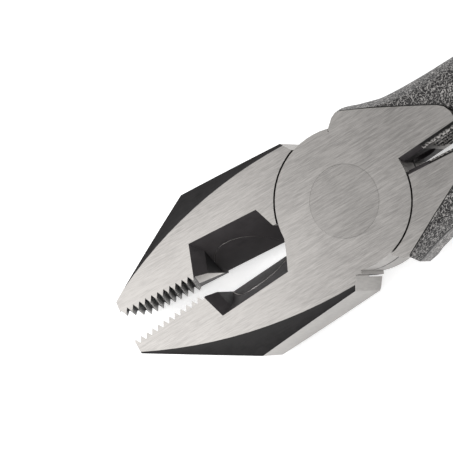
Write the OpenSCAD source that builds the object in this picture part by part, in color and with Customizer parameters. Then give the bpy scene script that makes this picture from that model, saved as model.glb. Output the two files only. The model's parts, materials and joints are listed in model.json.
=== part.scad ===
// Lineman pliers: two steel halves in a lap hinge, one flush rivet, a grip on each handle.
// The hinge axis is Z, the jaws point to -X, and z = 0 is the rear flat face of the head.
// Both halves are drawn closed, with their parting line on the X axis, and then turned open.

/* [Pose] */
// Angle between the two halves at rest
open_deg = 7; // [0:1:30]

/* [Head] */
// Thickness of the head across its two flat faces
head_t = 15.9; // [15.6:0.1:16.6]
// Distance from the hinge centre to the nose
jaw_reach = 57.1; // [56.9:0.1:58]
// Radius of the hinge plate where it turns against the other jaw
jaw_arc_r = 15.85; // [15.7:0.05:15.9]
// Radius of the hinge plate where it turns against the other handle
handle_arc_r = 15.1; // [14.9:0.05:15.2]
// Gap round the edge of each hinge plate
arc_gap = 0.4; // [0.3:0.05:0.5]
// Where the front half's plate steps from one radius to the other
front_shoulder_deg = 72; // [70:1:74]
// Where the rear half's plate does
rear_shoulder_deg = 104; // [100:1:105]
// Slope of the dark facets along the outside of the jaws
facet_deg = 22.8; // [18:0.2:26]

/* [Rivet] */
// Radius of the rivet at its flush heads
rivet_head_r = 7.94; // [7.5:0.01:8.2]
// Radius of the rivet's shank
rivet_shank_r = 6.2; // [5.5:0.1:6.8]
// Running clearance of the rivet in the rear half
rivet_play = 0.05; // [0.02:0.01:0.1]

/* [Teeth] */
// Distance from one tooth to the next
tooth_pitch = 1.57; // [1.5:0.01:1.6]
// Height of a tooth above the parting line
tooth_tip = 0.6; // [0.4:0.05:0.6]
// Depth of a tooth root below the parting line
tooth_root = 0.7; // [0.7:0.05:0.9]
// Slant of the teeth across the thickness of the jaws
tooth_slant_deg = 19.4; // [0:0.2:20]

/* [Cutter] */
// Height of the cutting edges above the rear face
edge_z = 2.6; // [2:0.1:3.5]
// Half of the gap between the closed cutting edges
edge_gap = 0.06; // [0.05:0.01:0.1]

/* [Grips] */
// How far the handles reach behind the hinge
handle_reach = 180; // [178:1:184]
// Thickness of the steel tang inside a grip
tang_t = 9; // [8:0.5:9.5]
// Wall of the outer grip skin over the inner sleeve
skin_wall = 1.4; // [1:0.1:1.6]

/* [Hidden] */
$fn = 96;
over = 1;                     // how far a cutting shape runs past what it cuts
mid_z = head_t / 2;           // the plane where the two hinge plates meet
lap_gap = 0.05;               // half of the clearance between the plates
land_y = -0.06;               // flat of the jaw between the teeth and the cutter
inner_y = 1.15;               // inside edge of a closed handle at its two faces
inner_flat_y = 0.15;          // the handle's inside wall between its two bevels
inner_bevel_t = 1.5;          // depth of those bevels
rabbet_t = 2.5;               // depth of the step that the grip fills beside the root
rivet_head_t = 2.2;           // depth of the rivet's tapered heads
tooth_flanks = 24;            // flanks in a row of twelve teeth
land_x = 0.35 - jaw_reach + tooth_flanks * tooth_pitch / 2;
jaw_corner = [-34.2, -17.6];  // where the jaw's outside bends towards the nose
jaw_heel = [-8.2, -17.4];     // where the jaw's outside meets its end wall
end_wall = [-6.1, -14.8];     // where that end wall meets the hinge plate
pocket_corner = [-38.4, 0.3]; // where the cutter pocket's nose wall meets the parting line
pocket_wall_deg = 16;         // how far that wall leans from square
pocket_floor_x = 1.8;         // run of the wall's sloping part
pocket_slope_t = 4;           // depth of the wall's sloping part
pocket_l = 42;                // reach of the cutting bevels from the hinge centre
heel_y = -1.6;                // how far the small bevel cuts into the rear face
clear_y = 4;                  // height that the pocket's cutting shapes rise above the parting line
knife_y = -2.9;               // where the main bevel turns into the knife bevel
knife_drop = 7.6;             // how far below the face it does so
dome_from = 170;              // where the rounded end of a handle begins
square_until = 4;             // behind this distance the grips' chamfers grow rounder
round_from = 46;              // and behind this one the grips are round-cornered
chamfer_from = 0.4;           // share of a grip's half width and half thickness left flat

// Grip stations: distance behind the hinge, outer edge, inner edge, half thickness
GRIP = [[8.4, 18.1, 14.5, 7.95], [12.5, 16.6, 11, 7.95], [17.5, 15, 8, 8.05], [24, 14.3, 3.6, 8.15],
        [32.5, 13.9, 1.3, 8.3], [38, 14.1, 1.3, 8.3], [44.5, 16.8, 1.7, 8.8], [51, 21.4, 2.6, 9.7],
        [58, 23.6, 3.8, 9.9], [68, 24.4, 5.4, 9.4], [84, 26.4, 7.2, 9.2], [104, 28.2, 8.6, 9.4],
        [124, 28.9, 9, 9.4], [144, 28.4, 8.6, 9.1], [162, 27, 8, 8.8], [174, 25.4, 8.3, 8],
        [handle_reach - 1.4, 23.4, 10, 6.2], [handle_reach, 20.5, 12.6, 3.6]];
sleeve_from = 2;              // the station where the inner sleeve begins
ring_points = 32;             // points round a grip's section
tang_from = 3;                // the first station whose inset outline the tang follows
tang_to = 15;                 // the last one
tang_inset = 4.6;             // tang outline inside the grip outline

// A quarter of the chamfered section, from its side at 0 to its face at 1.
function chamfered(u) =
    let (flat = chamfer_from, t = 2 * u - 0.5)
    u < 0.25 ? [1, 4 * flat * u] : u > 0.75 ? [4 * flat * (1 - u), 1]
    : [1 - t * (1 - flat), flat + t * (1 - flat)];

// A point of the round-cornered section.
function rounded(a, n = 2.7) =
    [sign(cos(a)) * pow(abs(cos(a)), 2 / n), sign(sin(a)) * pow(abs(sin(a)), 2 / n)];

// One closed section of a grip: chamfered beside the steel and rounder behind it.
function grip_section(w, h, x) =
    let (soft = min(1, max(0, (x - square_until) / (round_from - square_until))))
    [for (i = [0 : ring_points - 1])
        let (a = 360 * i / ring_points, q = floor(a / 90), u = a / 90 - q,
             p = chamfered(q % 2 == 0 ? u : 1 - u),
             hard = [q == 1 || q == 2 ? -p[0] : p[0], q > 1 ? -p[1] : p[1]],
             r = hard * (1 - soft) + rounded(a) * soft)
        [w * r[0], h * r[1]]];

// A point on the smooth curve through four values.
function between(a, b, c, d, t) =
    (2 * b + (c - a) * t + (2 * a - 5 * b + 4 * c - d) * t * t
     + (3 * b - a - 3 * c + d) * t * t * t) / 2;

// The smooth curve through all the grip stations, from one station to another.
function smooth_grip(from, to, cuts = 2) = concat(
    [for (i = [from : to - 1], k = [0 : cuts - 1])
        between(GRIP[max(i - 1, 0)], GRIP[i], GRIP[i + 1], GRIP[min(i + 2, len(GRIP) - 1)], k / cuts)],
    [GRIP[to]]);

// Puts the front half's pieces, drawn closed, where they lie with the jaws ajar.
module front_place() {
    rotate([0, 0, open_deg / 2]) children();
}

// The rear half is the same forging turned over about the X axis.
module rear_place() {
    rotate([0, 0, -open_deg / 2]) translate([0, 0, head_t]) rotate([180, 0, 0]) children();
}

// Side view of a jaw before its teeth are cut.
module jaw_outline() {
    polygon([[land_x, land_y], [land_x, tooth_tip], [-jaw_reach, tooth_tip], [-jaw_reach, -2.8],
             jaw_corner, jaw_heel, end_wall, [-6, -8], [-12, -3], [-14, land_y]]);
}

// What the tooth cutter takes away, drawn from the land forwards along slanted teeth.
module tooth_space(phase, lean_deg) {
    step = tooth_pitch / 2 * cos(lean_deg);
    flanks = 2 * tooth_flanks;
    rotate([0, lean_deg, 0]) translate([0, 0, -2 * head_t]) linear_extrude(4 * head_t)
        polygon(concat(
            [[head_t, clear_y], [head_t, land_y], [0, land_y]],
            [for (k = [1 : flanks]) [-k * step, k % 2 == phase ? tooth_tip : -tooth_root]],
            [[-flanks * step, clear_y]]));
}

// What is left inside the two conical facets along the jaw's outside.
module facet_limits() {
    slope = tan(facet_deg);
    tall = head_t + over;
    plate_side_r = 117.2;
    plate_side_y = -16.5;
    far_side_r = 102.7;
    far_side_y = -16.7;
    intersection() {
        translate([-1.3, plate_side_r + plate_side_y, -over])
            cylinder(r1 = plate_side_r + tall / slope, r2 = plate_side_r, h = tall);
        translate([-5.9, far_side_r + far_side_y, 0])
            cylinder(r1 = far_side_r, r2 = far_side_r + tall / slope, h = tall);
    }
}

// The space in front of a cutting edge: a bevel from the +Z face down, with a small one below.
module cutter_space(floor_y, throat) {
    top = head_t + over;
    intersection() {
        rotate([90, 0, 90]) translate([0, 0, -pocket_l]) linear_extrude(pocket_l)
            polygon([[clear_y, top], [floor_y, top], [floor_y, head_t], [knife_y, head_t - knife_drop],
                     [-edge_gap, edge_z], [heel_y, 0], [heel_y, -over], [clear_y, -over]]);
        translate(concat(pocket_corner, 0)) rotate([0, 0, pocket_wall_deg])
            translate([0, pocket_l, 0]) rotate([90, 0, 0]) linear_extrude(2 * pocket_l) nose_wall();
        translate([0, 0, -over]) linear_extrude(head_t + 2 * over)
            polygon(concat([[-pocket_l, clear_y], [-pocket_l, floor_y]], throat));
    }
}

// The pocket's nose end: it slopes near the face and then drops straight.
module nose_wall() {
    polygon([[0, head_t + over], [0, head_t], [pocket_floor_x, head_t - pocket_slope_t],
             [pocket_floor_x, -over], [pocket_l, -over], [pocket_l, head_t + over]]);
}

// Where the other half's hinge plate lies.
module plate_seat(r) {
    translate([0, 0, -over]) cylinder(r = r + arc_gap, h = mid_z + lap_gap + over);
}

module jaw(phase, cutter_on_plate_side) {
    difference() {
        intersection() {
            linear_extrude(head_t) jaw_outline();
            facet_limits();
        }
        plate_seat(jaw_arc_r);
        if (cutter_on_plate_side) {
            cutter_space(-5.9, [[-18.9, -5.9], [-17.3, -2.75], [-14, clear_y]]);
            translate([land_x, 0, head_t]) tooth_space(phase, tooth_slant_deg);
        } else {
            translate([0, 0, head_t]) mirror([0, 0, 1])
                cutter_space(-7, [[-19.1, -7], [-16.9, -2.25], [-13, -2.25], [-13, clear_y]]);
            translate([land_x, 0, 0]) tooth_space(phase, -tooth_slant_deg);
        }
    }
}

// One half's hinge plate, on the +Z side, with its radius step and the wall at the throat of the jaws.
module hinge_plate(shoulder_deg) {
    plate_t = mid_z - lap_gap;
    translate([0, 0, head_t - plate_t]) {
        cylinder(r = handle_arc_r, h = plate_t);
        intersection() {
            cylinder(r = jaw_arc_r, h = plate_t);
            half_space(shoulder_deg, plate_t);
            half_space(front_shoulder_deg, plate_t);
        }
        linear_extrude(plate_t)
            polygon([[-18.9, -5.9], [-17.3, -2.75], [-15.6, 1.05], [-8, 4], [0, -6], [-10, -13]]);
    }
}

// Everything on one side of a plane through the hinge axis.
module half_space(turn_deg, tall) {
    reach = jaw_arc_r + over;
    rotate([0, 0, turn_deg]) translate([-reach, 0, 0]) cube([2 * reach, reach, tall]);
}

// Outlines of the handle's root: the whole one and the narrower one at its far face.
ROOT = [[6.85, 16.5], [8.2, 17.05], [9.1, 16.85], [15.5, 13.5], [23.8, 8.7], [28.3, 6], [29.5, 4.9],
        [30.2, 3.2]];
NARROW_ROOT = [[6.85, 16.5], [7.9, 16.9], [12.4, 14.1], [17.4, 11], [22, 8.3], [26.5, 5.6], [28, 4],
               [28.6, 2.6]];

// The flat-faced root of the handle, as far as the grip's edge.
module handle_root() {
    difference() {
        union() {
            linear_extrude(head_t) root_outline(NARROW_ROOT);
            translate([0, 0, rabbet_t]) linear_extrude(head_t - rabbet_t) root_outline(ROOT);
        }
        plate_seat(handle_arc_r);
        inner_bevel();
        translate([0, 0, head_t]) mirror([0, 0, 1]) inner_bevel();
        crimping_nest();
        pulling_ridges();
    }
}

module root_outline(edge) {
    polygon(concat([[8, 0], [4, 6], [4.9, 14.85]], edge,
                   [[edge[len(edge) - 1][0], inner_flat_y], [14.9, inner_flat_y]]));
}

// The broken edge along the inside of the handle.
module inner_bevel() {
    rotate([90, 0, 90]) translate([0, 0, handle_arc_r]) linear_extrude(2 * handle_arc_r)
        polygon([[inner_flat_y, inner_bevel_t], [inner_y, 0], [inner_y, -over], [-inner_y, -over],
                 [-inner_y, inner_bevel_t]]);
}

// The tapered pocket behind the hinge that crimps a terminal.
module crimping_nest() {
    nest_r = 3.4;
    nest_end_r = 0.6;
    nest_depth = 2.8;
    translate([18.1, inner_flat_y - over, mid_z]) rotate([-90, 0, 0])
        cylinder(r1 = nest_r, r2 = nest_end_r, h = nest_depth + over);
}

// Grooves along the inside of the handle that hold a flat pulling tape.
module pulling_ridges() {
    groove_r = 1.15;
    groove_pitch = 2.65;
    groove_l = 12;
    for (i = [-2 : 2])
        translate([21.6 + i * i / 4, inner_flat_y - 0.35, mid_z + i * groove_pitch])
            rotate([0, 90, 0]) cylinder(r = groove_r, h = groove_l);
}

// The tang that the grip is moulded on.
module tang() {
    line = smooth_grip(tang_from, tang_to, 1);
    outer = [for (s = line) [s[0], s[1] - tang_inset + 2]];
    inner = [for (i = [len(line) - 1 : -1 : 1]) [line[i][0], line[i][2] + tang_inset]];
    translate([0, 0, mid_z - tang_t / 2]) linear_extrude(tang_t)
        polygon(concat([[17.5, 12]], outer, inner, [[24, 4], [18, 5]]));
}

module steel_half(phase, cutter_on_plate_side, shoulder_deg, bore_play) {
    difference() {
        union() {
            jaw(phase, cutter_on_plate_side);
            hinge_plate(shoulder_deg);
            handle_root();
            tang();
        }
        rivet_shape(bore_play);
    }
}

// The rivet, or the hole for it when it has play.
module rivet_shape(play) {
    translate([0, 0, -play]) cylinder(r = rivet_shank_r + play, h = head_t + 2 * play);
    translate([0, 0, -play])
        cylinder(r1 = rivet_head_r + play, r2 = rivet_shank_r + play, h = rivet_head_t);
    translate([0, 0, head_t + play - rivet_head_t])
        cylinder(r1 = rivet_shank_r + play, r2 = rivet_head_r + play, h = rivet_head_t);
}

// One ring of a grip's surface, moved inwards by the inset.
function grip_ring(s, inset) =
    let (x = s[0] - inset * max(0, s[0] - dome_from) / (handle_reach - dome_from))
    [for (p = grip_section((s[1] - s[2]) / 2 - inset, s[3] - inset, s[0]))
        [x, (s[1] + s[2]) / 2 + p[0], mid_z + p[1]]];

// A closed solid through a row of rings.
module loft(rings) {
    n = ring_points;
    last = len(rings) - 1;
    sides = [for (i = [0 : last - 1], j = [0 : n - 1])
        let (a = i * n + j, b = i * n + (j + 1) % n)
        each [[a, a + n, b], [b, a + n, b + n]]];
    caps = [[for (j = [0 : n - 1]) j], [for (j = [n - 1 : -1 : 0]) last * n + j]];
    polyhedron(points = [for (r = rings, p = r) p], faces = concat(sides, caps));
}

module sleeve_loft() {
    loft([for (s = smooth_grip(sleeve_from, len(GRIP) - 1)) grip_ring(s, skin_wall)]);
}

// The root of the handle that a grip stops against, without its small cuts.
module root_in_grip() {
    translate([0, 0, -over]) linear_extrude(head_t + 2 * over) root_side(NARROW_ROOT);
    translate([0, 0, rabbet_t]) linear_extrude(head_t + over - rabbet_t) root_side(ROOT);
}

module root_side(edge) {
    polygon(concat([[0, 0], [0, 16]], edge, [[edge[len(edge) - 1][0], 0]]));
}

// The smooth sleeve between the tang and the skin.
module grip_core() {
    difference() {
        sleeve_loft();
        root_in_grip();
        tang();
    }
}

module grip_skin() {
    difference() {
        loft([for (s = smooth_grip(0, len(GRIP) - 1)) grip_ring(s, 0)]);
        sleeve_loft();
        root_in_grip();
    }
}

module front_half() {
    color("silver") front_place() steel_half(0, true, front_shoulder_deg, 0);
}

module rear_half() {
    color("lightgray") rear_place() steel_half(1, false, rear_shoulder_deg, rivet_play);
}

module hinge_rivet() {
    color("gainsboro") rivet_shape(0);
}

module front_grip_core() {
    color("dimgray") front_place() grip_core();
}

module front_grip_skin() {
    color("darkslategray") front_place() grip_skin();
}

module rear_grip_core() {
    color("dimgray") rear_place() grip_core();
}

module rear_grip_skin() {
    color("darkslategray") rear_place() grip_skin();
}

front_half();
rear_half();
hinge_rivet();
front_grip_core();
front_grip_skin();
rear_grip_core();
rear_grip_skin();
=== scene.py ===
import bpy
import bmesh
import json
import math
from mathutils import Matrix, Vector


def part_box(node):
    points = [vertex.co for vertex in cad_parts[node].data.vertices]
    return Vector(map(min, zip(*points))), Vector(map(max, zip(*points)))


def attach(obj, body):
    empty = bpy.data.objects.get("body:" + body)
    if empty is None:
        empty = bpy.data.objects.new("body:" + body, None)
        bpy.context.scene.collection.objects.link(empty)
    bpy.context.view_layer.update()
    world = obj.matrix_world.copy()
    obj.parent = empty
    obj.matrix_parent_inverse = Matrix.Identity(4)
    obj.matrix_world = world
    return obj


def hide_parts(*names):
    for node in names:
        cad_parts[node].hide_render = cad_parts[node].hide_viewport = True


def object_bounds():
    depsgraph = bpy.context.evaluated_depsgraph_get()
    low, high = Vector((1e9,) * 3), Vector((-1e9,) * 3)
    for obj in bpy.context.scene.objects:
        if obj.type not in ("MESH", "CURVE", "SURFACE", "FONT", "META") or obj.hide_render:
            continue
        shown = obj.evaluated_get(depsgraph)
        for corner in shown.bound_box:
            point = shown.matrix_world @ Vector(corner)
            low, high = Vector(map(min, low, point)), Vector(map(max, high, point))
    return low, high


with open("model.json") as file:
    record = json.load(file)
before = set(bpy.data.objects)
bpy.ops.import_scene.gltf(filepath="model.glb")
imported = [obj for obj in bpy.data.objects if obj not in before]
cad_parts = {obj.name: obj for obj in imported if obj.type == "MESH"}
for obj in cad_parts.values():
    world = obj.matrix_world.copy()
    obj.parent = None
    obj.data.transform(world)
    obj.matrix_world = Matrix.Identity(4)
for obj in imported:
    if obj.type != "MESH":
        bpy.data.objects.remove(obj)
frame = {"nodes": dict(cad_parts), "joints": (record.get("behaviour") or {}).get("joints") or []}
bpy.context.view_layer.update()
CAD_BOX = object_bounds()

MM = 0.001
HEAD_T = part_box("front_half")[1].z          # thickness of the head
MID_Z = HEAD_T / 2
OPEN_RAD = math.radians(-frame["joints"][0]["range_deg"][0])   # the closing travel is the opening at rest
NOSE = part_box("front_half")[0].x
LAND_X = -37.9 * MM                         # where the row of teeth ends at the front face
LAND_Y = -0.06 * MM                         # the flat behind the teeth
TOOTH_ROOT_Y = -0.7 * MM
TOOTH_TIP_Y = 0.6 * MM
INSIDE_Y = 0.15 * MM                        # inside wall of a handle's root
INSIDE_EDGE_Y = 1.15 * MM                   # and where its bevels meet the two faces
GROOVE_DEPTH = 0.8 * MM
NEST_END_X = 20.6 * MM                      # where that wall's blackened part ends
LAP_SHADOW_T = 0.45 * MM                      # height of the painted shadow: a black strip along a hinge plate's edge where the plates meet, in place of the shade in the gap between them
PHOTO_SPAN = 96 * MM                        # width of the camera's field at the object


# ---------------------------------------------------------------- frames of the two halves

FRONT = Matrix.Rotation(OPEN_RAD / 2, 4, "Z")
REAR = (Matrix.Rotation(-OPEN_RAD / 2, 4, "Z") @ Matrix.Translation((0, 0, HEAD_T))
        @ Matrix.Rotation(math.pi, 4, "X"))


# ---------------------------------------------------------------- material tools

class Graph:
    """A material's node tree, with short calls for the nodes that these finishes use."""

    def __init__(self, name, base, metallic, roughness):
        self.mat = bpy.data.materials.new(name)
        self.mat.use_nodes = True
        self.tree = self.mat.node_tree
        self.tree.nodes.clear()
        self.out = self.add("ShaderNodeOutputMaterial")
        self.shader = self.add("ShaderNodeBsdfPrincipled")
        self.put(self.shader, "Base Color", (*base, 1))
        self.put(self.shader, "Metallic", metallic)
        self.put(self.shader, "Roughness", roughness)
        self.join(self.shader, "BSDF", self.out, "Surface")
        self.place = self.add("ShaderNodeTexCoord")

    def add(self, kind):
        return self.tree.nodes.new(kind)

    def put(self, node, socket, value):
        node.inputs[socket].default_value = value

    def join(self, a, a_socket, b, b_socket):
        self.tree.links.new(a.outputs[a_socket], b.inputs[b_socket])

    def noise(self, scale, detail=3, roughness=0.55):
        """Noise in the object's own space; scale is per metre on each axis."""
        mapping = self.add("ShaderNodeMapping")
        self.put(mapping, "Scale", scale)
        self.join(self.place, "Object", mapping, "Vector")
        noise = self.add("ShaderNodeTexNoise")
        self.put(noise, "Scale", 1)
        self.put(noise, "Detail", detail)
        self.put(noise, "Roughness", roughness)
        self.join(mapping, "Vector", noise, "Vector")
        return noise, "Fac"

    def remap(self, source, low, high, to_low, to_high):
        node = self.add("ShaderNodeMapRange")
        self.put(node, "From Min", low)
        self.put(node, "From Max", high)
        self.put(node, "To Min", to_low)
        self.put(node, "To Max", to_high)
        self.join(*source, node, "Value")
        return node, "Result"

    def calc(self, operation, a, b):
        """A sum or product of two values, each a number or another node's output."""
        node = self.add("ShaderNodeMath")
        node.operation = operation
        for i, value in enumerate((a, b)):
            if isinstance(value, tuple):
                self.tree.links.new(value[0].outputs[value[1]], node.inputs[i])
            else:
                node.inputs[i].default_value = value
        return node, "Value"

    def tone(self, factor, dark, light):
        """Base colour between two tones."""
        mix = self.add("ShaderNodeMix")
        mix.data_type = "RGBA"
        mix.inputs["A"].default_value = (*dark, 1)
        mix.inputs["B"].default_value = (*light, 1)
        self.tree.links.new(factor[0].outputs[factor[1]], mix.inputs["Factor"])
        self.tree.links.new(mix.outputs["Result"], self.shader.inputs["Base Color"])

    def attribute(self, name):
        """A value that the mesh tools below store on the vertices."""
        node = self.add("ShaderNodeAttribute")
        node.attribute_name = name
        return node, "Fac"

    def rough(self, factor, low, high):
        """Roughness that follows the middle of a noise's range."""
        self.join(*self.remap(factor, 0.3, 0.7, low, high), self.shader, "Roughness")

    def bump(self, height, strength, distance):
        node = self.add("ShaderNodeBump")
        self.put(node, "Strength", strength)
        self.put(node, "Distance", distance)
        self.join(*height, node, "Height")
        self.join(node, "Normal", self.shader, "Normal")


def grey(level, warm=0.96):
    """A slightly warm grey; warm is how much darker each channel is than the one before it."""
    return (level, level * warm, level * warm * warm)


def brushed_steel(name, dark, light, low_rough=0.3, high_rough=0.46):
    """Ground face with fine streaks along the tool."""
    g = Graph(name, grey(light), 1.0, 0.42)
    fine = g.noise((420, 7000, 7000), 4, 0.7)
    broad = g.noise((130, 1700, 1700), 4, 0.6)
    streaks = g.calc("ADD", g.calc("MULTIPLY", fine, 0.65), g.calc("MULTIPLY", broad, 0.35))
    cloud = g.noise((70, 70, 70), 3)
    streaks = g.calc("ADD", g.calc("MULTIPLY", streaks, 0.8), g.calc("MULTIPLY", cloud, 0.2))
    g.tone(g.remap(streaks, 0.4, 0.6, 0, 1), grey(dark), grey(light))
    g.rough(streaks, low_rough, high_rough)
    g.bump(streaks, 0.3, 0.00003)
    return g.mat


def ground_steel(name, dark, light):
    """Side walls: a finer cross-grind, with no long streaks."""
    g = Graph(name, grey(light), 1.0, 0.45)
    grain = g.noise((2600, 2600, 420), 4, 0.6)
    cloud = g.noise((140, 140, 140), 2)
    mixed = g.calc("ADD", g.calc("MULTIPLY", grain, 0.6), g.calc("MULTIPLY", cloud, 0.4))
    g.tone(g.remap(mixed, 0.36, 0.64, 0, 1), grey(dark), grey(light))
    g.rough(mixed, 0.4, 0.52)
    g.bump(grain, 0.2, 0.00003)
    return g.mat


def black_oxide(name, dark, light, shine):
    """Blackened steel, slightly mottled, with faint tool marks."""
    g = Graph(name, (dark,) * 3, 0.0, 0.5)
    g.put(g.shader, "Specular IOR Level", shine)
    mottle = g.noise((420, 420, 420), 5, 0.65)
    marks = g.noise((160, 3200, 3200), 3)
    mixed = g.calc("ADD", g.calc("MULTIPLY", mottle, 0.6), g.calc("MULTIPLY", marks, 0.4))
    g.tone(g.remap(mixed, 0.34, 0.66, 0, 1), (dark, dark * 0.9, dark * 0.94),
           (light, light * 0.9, light * 0.94))
    g.rough(mixed, 0.42, 0.6)
    g.bump(mixed, 0.3, 0.00005)
    return g.mat


def teeth_wear_and_glint(name):
    """Black in the roots and light grey in spots along the crests, partly wear of the steel and partly a
    painted highlight.
    """
    g = Graph(name, (0.02,) * 3, 0.0, 0.45)
    grit = g.noise((2300, 2300, 1500), 4, 0.7)
    wear_and_glint = g.calc("MULTIPLY", g.remap(g.attribute("crest"), 0.4, 1, 0, 1),
                  g.remap(grit, 0.45, 0.55, 0, 1))
    g.tone(wear_and_glint, (0.004, 0.0035, 0.0035), (0.8, 0.77, 0.74))
    g.rough(grit, 0.34, 0.55)
    g.bump(grit, 0.8, 0.00012)
    return g.mat


def pebbled_rubber(name):
    """Soft grip skin covered in fine worm-like ridges, except along its smooth rims; the ridge tops are
    coloured light grey as a painted highlight, and the outer side walls get painted light.
    """
    g = Graph(name, (0.05,) * 3, 0.0, 0.6)
    g.put(g.shader, "Specular IOR Level", 0.22)
    g.put(g.shader, "Coat Weight", 0.15)
    g.put(g.shader, "Coat Roughness", 0.32)
    mask = g.attribute("pebble")
    worms = g.noise((1600, 1600, 1600), 1.5, 0.5)
    ridge = g.remap(g.calc("ABSOLUTE", g.calc("SUBTRACT", worms, 0.5), 0), 0, 0.065, 1, 0)
    masked = g.calc("MULTIPLY", ridge, mask)
    cloud = g.noise((260, 260, 260), 3)
    # Painted highlight: the ridge tops turn light grey in the tone below, standing in for the glints on the
    # rubber's bumps
    lit = g.calc("MULTIPLY", masked, g.remap(cloud, 0.35, 0.65, 0.65, 1))
    # Painted light: the outer side walls get a lighter tone, standing in for their grazing reflection of the
    # bright surroundings
    lit = g.calc("ADD", lit, g.calc("MULTIPLY", g.attribute("side"), 0.14))
    g.tone(lit, (0.016, 0.015, 0.015), (0.52, 0.5, 0.485))
    g.rough(cloud, 0.5, 0.65)
    g.bump(masked, 1.0, 0.00012)
    return g.mat


def smooth_plastic(name):
    g = Graph(name, (0.03,) * 3, 0.0, 0.4)
    cloud = g.noise((300, 300, 300), 4)
    g.tone(g.remap(cloud, 0.3, 0.7, 0, 1), (0.022, 0.021, 0.021), (0.042, 0.04, 0.04))
    g.rough(cloud, 0.36, 0.5)
    g.bump(cloud, 0.15, 0.00005)
    return g.mat


FACE = brushed_steel("steel_face", 0.17, 0.285)
RIVET_FACE = brushed_steel("steel_rivet", 0.155, 0.26)
WALL = ground_steel("steel_wall", 0.27, 0.38)
# Painted light: the side walls' ground steel made far lighter for the flat behind the teeth, standing in for
# the light it catches from below
LAND_PAINTED_LIGHT = ground_steel("steel_land_painted_light", 0.75, 0.9)
OXIDE = black_oxide("oxide_black", 0.004, 0.016, 0.22)
# Painted light: a lighter copy of the black oxide above, for the cutter's pocket, offsetting the shade
# inside the recess
POCKET_PAINTED_LIGHT = black_oxide("oxide_pocket_painted_light", 0.03, 0.05, 0.4)
TOOTH = teeth_wear_and_glint("oxide_teeth")
SKIN = pebbled_rubber("grip_pebbled")
CORE = smooth_plastic("grip_smooth")
STEEL = [FACE, WALL, OXIDE, TOOTH, POCKET_PAINTED_LIGHT, LAND_PAINTED_LIGHT]
FACE_SLOT, WALL_SLOT, OXIDE_SLOT, TOOTH_SLOT, POCKET_PAINTED_LIGHT_SLOT, LAND_PAINTED_LIGHT_SLOT = range(6)


# ---------------------------------------------------------------- mesh tools

def between(a, b, c, d, t):
    """The smooth curve through four values, from the second at 0 to the third at 1."""
    return (2 * b + (c - a) * t + (2 * a - 5 * b + 4 * c - d) * t * t
            + (3 * b - a - 3 * c + d) * t ** 3) / 2


def cad_mesh(node):
    """A CAD node's mesh with the flats it was cut into joined again."""
    bm = bmesh.new()
    bm.from_mesh(frame["nodes"][node].data)
    bmesh.ops.remove_doubles(bm, verts=bm.verts, dist=1e-6)
    bmesh.ops.dissolve_limit(bm, angle_limit=math.radians(0.4), verts=bm.verts, edges=bm.edges,
                             delimit=set())
    return bm


def new_object(name, bm, materials):
    mesh = bpy.data.meshes.new(name)
    bm.to_mesh(mesh)
    bm.free()
    obj = bpy.data.objects.new(name, mesh)
    bpy.context.scene.collection.objects.link(obj)
    for m in materials:
        mesh.materials.append(m)
    return obj


def apply_modifiers(obj):
    graph = bpy.context.evaluated_depsgraph_get()
    done = bpy.data.meshes.new_from_object(obj.evaluated_get(graph), depsgraph=graph)
    obj.modifiers.clear()
    old = obj.data
    obj.data = done
    bpy.data.meshes.remove(old)


def bevel(obj, width):
    """Breaks every edge that turns by more than 24 degrees."""
    mod = obj.modifiers.new("edge_break", "BEVEL")
    mod.width = width
    mod.segments = 2
    mod.limit_method = "ANGLE"
    mod.angle_limit = math.radians(24)
    apply_modifiers(obj)


def shade_by_angle(obj, degrees, weighted=False):
    """Smooth shading with sharp edges kept; weighted keeps large flats flat up to their broken edges."""
    bm = bmesh.new()
    bm.from_mesh(obj.data)
    limit = math.radians(degrees)
    for f in bm.faces:
        f.smooth = True
    for e in bm.edges:
        e.smooth = not (len(e.link_faces) == 2 and e.calc_face_angle(0) > limit)
    bm.to_mesh(obj.data)
    bm.free()
    if weighted:
        mod = obj.modifiers.new("flats", "WEIGHTED_NORMAL")
        mod.mode = "FACE_AREA"
        mod.weight = 100
        mod.keep_sharp = True
        apply_modifiers(obj)


def cut(piece, tool):
    """Takes a closed tool away from a piece and deletes the tool."""
    mod = piece.modifiers.new("cut", "BOOLEAN")
    mod.operation = "DIFFERENCE"
    mod.solver = "EXACT"
    mod.object = tool
    bpy.context.view_layer.update()
    apply_modifiers(piece)
    bpy.data.objects.remove(tool)


# ---------------------------------------------------------------- steel halves

# Regions of a half in its closed frame, which decide its finishes.
LAND_FROM_X = -34 * MM                      # the flat behind the teeth lies beyond this
FACET_FROM_X = -5 * MM                      # and so do the black facets beyond this
POCKET_X = (-39.6 * MM, -15 * MM)           # the cutter's pocket
POCKET_Y = (-7.4 * MM, 0.5 * MM)
INSIDE_X = (14 * MM, 30 * MM)               # the inside of a handle's root
INSIDE_TOP_Y = 4 * MM
PLATE_R = (14.9 * MM, 16 * MM)              # the edge of a hinge plate, between its two radii
# The land's rear corner gets a dark oxide finish: how deep that begins, where, and how the line slopes.
LAND_DARK_DEPTH = 13.3 * MM
LAND_DARK_X = -36.6 * MM
LAND_DARK_SLOPE = 3.4 / 6.9


def on_plate_edge(centre, normal):
    """The outward side of a hinge plate."""
    out = Vector((centre.x, centre.y, 0))
    return (PLATE_R[0] < out.length < PLATE_R[1] and centre.z > MID_Z
            and normal.dot(out) > 0.98 * out.length)


def on_land(centre, normal):
    """The flat of the jaw behind its teeth."""
    return centre.x < LAND_FROM_X and abs(centre.y - LAND_Y) < 0.02 * MM and normal.y > 0.995


def on_inside_wall(centre, normal):
    """The inside of a handle's root, with its bevels."""
    return (INSIDE_X[0] < centre.x < INSIDE_X[1] and INSIDE_Y - 0.02 * MM < centre.y < INSIDE_EDGE_Y
            and normal.y < -0.7)


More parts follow.
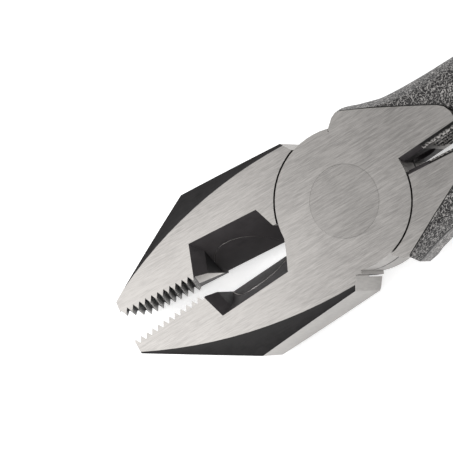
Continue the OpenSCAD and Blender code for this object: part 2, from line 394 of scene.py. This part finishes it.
def steel_slot(centre, normal, depth):
    """Which finish a face of a half has, seen in that half's closed frame; depth is from the front face."""
    flat = abs(normal.z)
    x, y = centre.x, centre.y
    # Painted shadow: the black oxide finish on a strip of the plate's edge at the lap, where the gap's shade
    # would be
    if on_plate_edge(centre, normal) and centre.z - MID_Z < LAP_SHADOW_T:
        return OXIDE_SLOT
    if flat > 0.995:
        on_face = min(centre.z, HEAD_T - centre.z) < 0.1 * MM
        return FACE_SLOT if on_face else WALL_SLOT
    if on_land(centre, normal):
        behind_line = depth > LAND_DARK_DEPTH + (x - LAND_DARK_X) * LAND_DARK_SLOPE
        # The land gets the painted-light finish, and its rear corner takes the darker oxide
        return POCKET_PAINTED_LIGHT_SLOT if behind_line else LAND_PAINTED_LIGHT_SLOT
    if x < LAND_X and y > TOOTH_ROOT_Y - 0.1 * MM and flat < 0.4 and abs(normal.y) > 0.2:
        return TOOTH_SLOT
    jaw_facet = x < FACET_FROM_X and 0.85 < flat < 0.96
    in_pocket = POCKET_X[0] < x < POCKET_X[1] and POCKET_Y[0] < y < POCKET_Y[1]
    bevel_face = in_pocket and normal.y > 0.2 and flat > 0.1
    pocket_end = in_pocket and 0.5 < normal.x < 0.9
    deep_end = in_pocket and normal.x > 0.9
    if jaw_facet or deep_end:
        return OXIDE_SLOT
    if bevel_face or pocket_end:
        return POCKET_PAINTED_LIGHT_SLOT
    inside_wall = (INSIDE_X[0] < x < INSIDE_X[1] and INSIDE_Y - 0.05 * MM < y < INSIDE_TOP_Y
                   and normal.x < 0.9)
    if inside_wall and x < NEST_END_X:
        return POCKET_PAINTED_LIGHT_SLOT
    # The ridges take the teeth's finish, whose grey crests are partly wear and partly a painted highlight
    if inside_wall and y > INSIDE_Y + 0.05 * MM:
        return TOOTH_SLOT
    return WALL_SLOT


def split(bm, place, chosen, point, normal):
    """Adds an edge across the chosen faces where a plane of the closed frame cuts them."""
    back = place.inverted()
    turn = back.to_3x3()
    faces = [f for f in bm.faces if chosen(back @ f.calc_center_median(), turn @ f.normal)]
    geom = set(faces)
    for f in faces:
        geom.update(f.edges)
        geom.update(f.verts)
    bmesh.ops.bisect_plane(bm, geom=list(geom), dist=1e-7, plane_co=place @ Vector(point),
                           plane_no=place.to_3x3() @ Vector(normal))


def crest_height(point):
    """0 at a tooth's or groove's root and 1 at its crest, in the closed frame."""
    if point.x < 0:
        return (point.y - TOOTH_ROOT_Y) / (TOOTH_TIP_Y - TOOTH_ROOT_Y)
    return 1 - (point.y - INSIDE_Y) / GROOVE_DEPTH


# The cutting bevel's two slopes, as height over depth, and the crease between them.
KNIFE_Y = -2.9 * MM
KNIFE_DEPTH = 7.6 * MM
KNIFE_SLOPE = 2.84 / 5.7
# The ground arc on it in mm: distance from the hinge and depth below the front face.
KNIFE_ARC = [(-36.4, 12.9), (-34.6, 9.6), (-32.6, 7.4), (-30.2, 6.4), (-27.6, 6.5), (-25.2, 7.4),
             (-23.1, 9), (-21.4, 11.2), (-20.4, 13)]


def bevel_point(x, depth, floor_y, front_z, back_way):
    """A point of the cutting bevel, whose main slope starts at floor_y at the front face."""
    if depth > KNIFE_DEPTH:
        y = KNIFE_Y + KNIFE_SLOPE * (depth - KNIFE_DEPTH)
    else:
        y = floor_y + (KNIFE_Y - floor_y) * depth / KNIFE_DEPTH
    return Vector((x, y, front_z + back_way * depth))


def ground_arc(piece, place, floor_y, front_z, back_way, half_w, shift, slot):
    """The fine line round the knife edge's own bevel, cut as a shallow groove.

    shift moves it along the jaw and down from the front face, in mm.
    """
    half_h = 0.05 * MM
    knots = [Vector(((x + shift[0]) * MM, (d + shift[1]) * MM)) for x, d in KNIFE_ARC]
    path = []
    for a, b, c, d in zip([knots[0]] + knots, knots, knots[1:], knots[2:] + [knots[-1]]):
        for t in (0, 0.25, 0.5, 0.75):
            path.append(between(a, b, c, d, t))
    path.append(knots[-1])
    bm = bmesh.new()
    rows = []
    for i, p in enumerate(path):
        along = (path[min(i + 1, len(path) - 1)] - path[max(i - 1, 0)]).normalized()
        side = Vector((-along.y, along.x)) * half_w
        on = [bevel_point(*(p + s * side), floor_y, front_z, back_way) for s in (-1, 1)]
        up = Vector((0, 1, 0)) * half_h
        rows.append([bm.verts.new(place @ q) for q in (on[0] - up, on[1] - up, on[1] + up, on[0] + up)])
    for a, b in zip(rows, rows[1:]):
        for k in range(4):
            bm.faces.new((a[k], a[(k + 1) % 4], b[(k + 1) % 4], b[k]))
    bm.faces.new(rows[0])
    bm.faces.new(rows[-1][::-1])
    bmesh.ops.recalc_face_normals(bm, faces=bm.faces)
    for f in bm.faces:
        f.material_index = slot
    cut(piece, new_object("arc_cut", bm, STEEL))


def steel_half(node, place, front_z, back_way, floor_y, arc):
    """The CAD half's own shape, with its edges broken and each ground or blackened face marked.

    front_z is the height of the front face in the closed frame, and back_way the way from it backwards.
    floor_y is where the cutting bevel starts at that face. arc is the ground line's half width, its shift
    and its finish.
    """
    bm = cad_mesh(node)
    bm.normal_update()
    split(bm, place, on_land, (LAND_DARK_X, LAND_Y, front_z + back_way * LAND_DARK_DEPTH),
          (LAND_DARK_SLOPE, 0, -back_way))
    split(bm, place, on_inside_wall, (NEST_END_X, INSIDE_Y, 0), (1, 0, 0))
    # The painted shadow strip along the plate's edge at the lap ends at this cut
    split(bm, place, on_plate_edge, (0, 0, MID_Z + LAP_SHADOW_T), (0, 0, 1))
    bm.normal_update()
    back = place.inverted()
    turn = back.to_3x3()
    for f in bm.faces:
        centre = back @ f.calc_center_median()
        f.material_index = steel_slot(centre, turn @ f.normal, abs(centre.z - front_z))
    piece = new_object(node + "_steel", bm, STEEL)
    bevel(piece, 0.09 * MM)
    ground_arc(piece, place, floor_y, front_z, back_way, *arc)
    crest = piece.data.attributes.new("crest", "FLOAT", "POINT")
    crest.data.foreach_set("value", [min(1, max(0, crest_height(back @ v.co))) for v in piece.data.vertices])
    shade_by_angle(piece, 50, weighted=True)
    return piece


# The front arc's groove takes the land's painted-light finish, a painted highlight along the ground line
front_steel = steel_half("front_half", FRONT, HEAD_T, -1, -5.9 * MM, (0.08 * MM, (0, 0), LAND_PAINTED_LIGHT_SLOT))
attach(front_steel, "front_handle")
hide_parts("front_half")

rear_steel = steel_half("rear_half", REAR, 0, 1, -7 * MM, (0.04 * MM, (-0.8, -1.5), WALL_SLOT))
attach(rear_steel, "rear_handle")
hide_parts("rear_half")


def rivet():
    piece = new_object("rivet_steel", cad_mesh("hinge_rivet"), [RIVET_FACE])
    bevel(piece, 0.1 * MM)
    shade_by_angle(piece, 50, weighted=True)
    return piece


rivet_steel = rivet()
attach(rivet_steel, "front_handle")
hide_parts("hinge_rivet")


# ---------------------------------------------------------------- grips

# Grip stations in mm, as in the CAD part: distance, outer edge, inner edge, half thickness
GRIP = [(8.4, 18.1, 14.5, 7.95), (12.5, 16.6, 11, 7.95), (17.5, 15, 8, 8.05), (24, 14.3, 3.6, 8.15),
        (32.5, 13.9, 1.3, 8.3), (38, 14.1, 1.3, 8.3), (44.5, 16.8, 1.7, 8.8), (51, 21.4, 2.6, 9.7),
        (58, 23.6, 3.8, 9.9), (68, 24.4, 5.4, 9.4), (84, 26.4, 7.2, 9.2), (104, 28.2, 8.6, 9.4),
        (124, 28.9, 9, 9.4), (144, 28.4, 8.6, 9.1), (162, 27, 8, 8.8), (174, 25.4, 8.3, 8),
        (178.6, 23.4, 10, 6.2), (180, 20.5, 12.6, 3.6)]
HANDLE_END = GRIP[-1][0]
DOME_L = 2                                  # length of the rounded end, where the rings are closer
DOME_RINGS = 8
SLEEVE_FROM = 17.5
SKIN_WALL = 1.4                             # wall of the skin over the sleeve
SQUARE_UNTIL = 4                            # behind this distance the chamfers grow rounder
ROUND_FROM = 46                             # and behind this one the grips are round-cornered
CHAMFER_FROM = 0.4                          # share of the half width and half thickness left flat
# Edges of the steel root that the grip stops against, in mm: the narrow one is at its far face
ROOT = [(6.85, 16.5), (8.2, 17.05), (9.1, 16.85), (15.5, 13.5), (23.8, 8.7), (28.3, 6), (29.5, 4.9),
        (30.2, 3.2)]
NARROW_ROOT = [(6.85, 16.5), (7.9, 16.9), (12.4, 14.1), (17.4, 11), (22, 8.3), (26.5, 5.6), (28, 4),
               (28.6, 2.6)]
RABBET_T = 2.5 * MM


def grip_at(x):
    """Outer edge, inner edge and half thickness at a distance behind the hinge."""
    last = len(GRIP) - 2
    i = max(j for j in range(last + 1) if GRIP[j][0] <= x or j == 0)
    a, b, c, d = (GRIP[max(i - 1, 0)], GRIP[i], GRIP[i + 1], GRIP[min(i + 2, last + 1)])
    t = (x - b[0]) / (c[0] - b[0])
    return [between(a[k], b[k], c[k], d[k], t) for k in (1, 2, 3)]


def rounded(angle, power=2.7):
    """A point of the round-cornered section."""
    c, n = math.cos(angle), math.sin(angle)
    return math.copysign(abs(c) ** (2 / power), c), math.copysign(abs(n) ** (2 / power), n)


def chamfered(u):
    """A quarter of the chamfered section, from its side at 0 to its face at 1."""
    if u < 0.25:
        return 1, 4 * CHAMFER_FROM * u
    if u > 0.75:
        return 4 * CHAMFER_FROM * (1 - u), 1
    t = 2 * u - 0.5
    return 1 - t * (1 - CHAMFER_FROM), CHAMFER_FROM + t * (1 - CHAMFER_FROM)


def section_point(k, count, x):
    """A point of a grip's section: chamfered beside the steel and rounder behind it."""
    soft = min(1, max(0, (x - SQUARE_UNTIL) / (ROUND_FROM - SQUARE_UNTIL)))
    turn = 4 * k / count
    q = int(turn)
    u = turn - q
    py, pz = chamfered(u if q % 2 == 0 else 1 - u)
    py = -py if q in (1, 2) else py
    pz = -pz if q > 1 else pz
    ry, rz = rounded(math.pi / 2 * turn)
    return py * (1 - soft) + ry * soft, pz * (1 - soft) + rz * soft


def ring(x, inset, count):
    """One closed section of a grip, moved inwards by the inset."""
    outer, inner, half_t = grip_at(x)
    middle = (outer + inner) / 2
    points = []
    for k in range(count):
        y, z = section_point(k, count, x)
        points.append(Vector((x * MM, (middle + y * ((outer - inner) / 2 - inset)) * MM,
                              MID_Z + z * (half_t - inset) * MM)))
    return points


def stations(start, end, step):
    """Distances from start to end, closer together over the rounded end."""
    count = round((end - start) / step)
    xs = [start + (end - start) * i / count for i in range(count + 1)]
    dome = [end - DOME_L * (1 - math.sin(math.pi / 2 * i / DOME_RINGS)) for i in range(DOME_RINGS + 1)]
    return [x for x in xs if x < end - DOME_L] + dome


def loft(bm, rings, flip=False):
    """An open tube through a row of rings."""
    rows = [[bm.verts.new(p) for p in r] for r in rings]
    count = len(rows[0])
    for a, b in zip(rows, rows[1:]):
        for k in range(count):
            n = (k + 1) % count
            quad = (a[k], b[k], b[n], a[n])
            bm.faces.new(quad if flip else quad[::-1])
    return rows


def prism(name, outline, low, high):
    """A cutting solid from an outline in mm."""
    bm = bmesh.new()
    floor = [bm.verts.new((x * MM, y * MM, low)) for x, y in outline]
    roof = [bm.verts.new((x * MM, y * MM, high)) for x, y in outline]
    bm.faces.new(floor)
    bm.faces.new(roof[::-1])
    for k in range(len(outline)):
        n = (k + 1) % len(outline)
        bm.faces.new((floor[k], roof[k], roof[n], floor[n]))
    bmesh.ops.recalc_face_normals(bm, faces=bm.faces)
    return new_object(name, bm, [])


def grip_skin(name, place):
    count = 128
    rim_at = count / 16                     # the edge between the side and the chamfer
    smooth_points = 1.5                     # half of the smooth rim along that edge
    bm = bmesh.new()
    pebble = bm.verts.layers.float.new("pebble")
    # The side layer marks the outer side walls, which get painted light in the skin's tone
    wall = bm.verts.layers.float.new("side")
    outer = loft(bm, [ring(x, 0, count) for x in stations(GRIP[0][0], HANDLE_END, 0.8)])
    inner_xs = stations(SLEEVE_FROM, HANDLE_END - SKIN_WALL, 2.5)
    inner = loft(bm, [ring(x, SKIN_WALL, count) for x in inner_xs], flip=True)
    for rows in (outer, inner):
        bm.faces.new(rows[0])
        bm.faces.new(rows[-1])
    bmesh.ops.recalc_face_normals(bm, faces=bm.faces)
    for row in outer:
        for k, v in enumerate(row):
            to_rim = min(abs(k - rim_at), abs(k - count + rim_at))
            v[pebble] = 0.0 if to_rim < smooth_points else 1.0
            v[wall] = 1.0 if min(k, count - k) < rim_at else 0.0
    piece = new_object(name, bm, [SKIN])
    cut_root(piece, 0.12)
    piece.data.transform(place)
    shade_by_angle(piece, 30)
    return piece


def cut_root(piece, gap):
    """Cuts the steel root's stepped shape out of a grip, with a fine gap that shows as a shadow line."""
    for edge, low in ((NARROW_ROOT, -2 * MM), (ROOT, RABBET_T)):
        last_x = edge[-1][0] + gap
        outline = [(-1, 0), (-1, 16)] + [(x + gap, y + gap) for x, y in edge] + [(last_x, 0)]
        cut(piece, prism("root_cut", outline, low, HEAD_T + 2 * MM))


def grip_core(name, place):
    count = 96
    bm = bmesh.new()
    xs = stations(SLEEVE_FROM, HANDLE_END - SKIN_WALL, 1.0)
    rows = loft(bm, [ring(x, SKIN_WALL, count) for x in xs])
    bm.faces.new(rows[0])
    bm.faces.new(rows[-1][::-1])
    bmesh.ops.recalc_face_normals(bm, faces=bm.faces)
    piece = new_object(name, bm, [CORE])
    cut_root(piece, 0.05)
    piece.data.transform(place)
    shade_by_angle(piece, 30)
    return piece


for body, side, place in (("front_handle", "front", FRONT), ("rear_handle", "rear", REAR)):
    core = grip_core(side + "_sleeve", place)
    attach(core, body)
    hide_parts(side + "_grip_core")
    skin = grip_skin(side + "_skin", place)
    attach(skin, body)
    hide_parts(side + "_grip_skin")


# ---------------------------------------------------------------- floor, light and camera

def floor_material():
    """White floor lit through from below, as on a light table."""
    g = Graph("floor_pale", (0.9, 0.9, 0.9), 0.0, 0.85)
    g.put(g.shader, "Emission Color", (1, 1, 1, 1))
    g.put(g.shader, "Emission Strength", 0.5)
    g.tone(g.noise((8, 8, 8), 2), (0.9, 0.9, 0.9), (0.92, 0.92, 0.92))
    return g.mat


def floor():
    half_width = 4
    bm = bmesh.new()
    bmesh.ops.create_grid(bm, x_segments=1, y_segments=1, size=half_width)
    plane = new_object("floor", bm, [floor_material()])
    plane.location.z = CAD_BOX[0].z


def area_light(name, place, target, size, brightness):
    """A square soft box; brightness is its own radiance, where the white world's is 1."""
    light = bpy.data.lights.new(name, "AREA")
    light.size = size
    light.energy = brightness * math.pi * size ** 2
    obj = bpy.data.objects.new(name, light)
    obj.location = place
    obj.rotation_euler = (target - place).to_track_quat("-Z", "Y").to_euler()
    bpy.context.scene.collection.objects.link(obj)


def studio():
    world = bpy.data.worlds.new("studio")
    world.use_nodes = True
    world.node_tree.nodes["Background"].inputs["Color"].default_value = (1, 1, 1, 1)
    world.node_tree.nodes["Background"].inputs["Strength"].default_value = 1.0
    bpy.context.scene.world = world
    nose = Vector((NOSE, 0, HEAD_T))
    from_nose = Vector((-0.062, 0.016, 0.15))   # near the camera's mirror direction, so that the jaws shine
    area_light("key", nose + from_nose, nose, 0.09, 4.4)


def camera():
    """Tilted 22.4 degrees to the right of square-on, with the tool's axis at 28.7 degrees in the picture."""
    tilt = math.radians(22.4)
    roll = math.radians(28.7)
    right = Vector((math.cos(tilt) * math.cos(roll), -math.cos(tilt) * math.sin(roll), -math.sin(tilt)))
    up = Vector((math.sin(roll), math.cos(roll), 0))
    back = right.cross(up)
    pivot_right = 24.95 * MM
    pivot_up = 5.39 * MM
    distance = 1.0
    data = bpy.data.cameras.new("camera")
    data.sensor_width = 36
    data.lens = data.sensor_width * distance / PHOTO_SPAN
    data.clip_start = 0.05
    data.clip_end = 20
    cam = bpy.data.objects.new("camera", data)
    target = Vector((0, 0, HEAD_T)) - pivot_right * right - pivot_up * up
    turn = Matrix((right, up, back)).transposed().to_4x4()
    cam.matrix_world = Matrix.Translation(target + distance * back) @ turn
    bpy.context.scene.collection.objects.link(cam)
    bpy.context.scene.camera = cam


floor()
studio()
camera()
bpy.context.scene.view_settings.view_transform = "Standard"

bpy.context.view_layer.update()
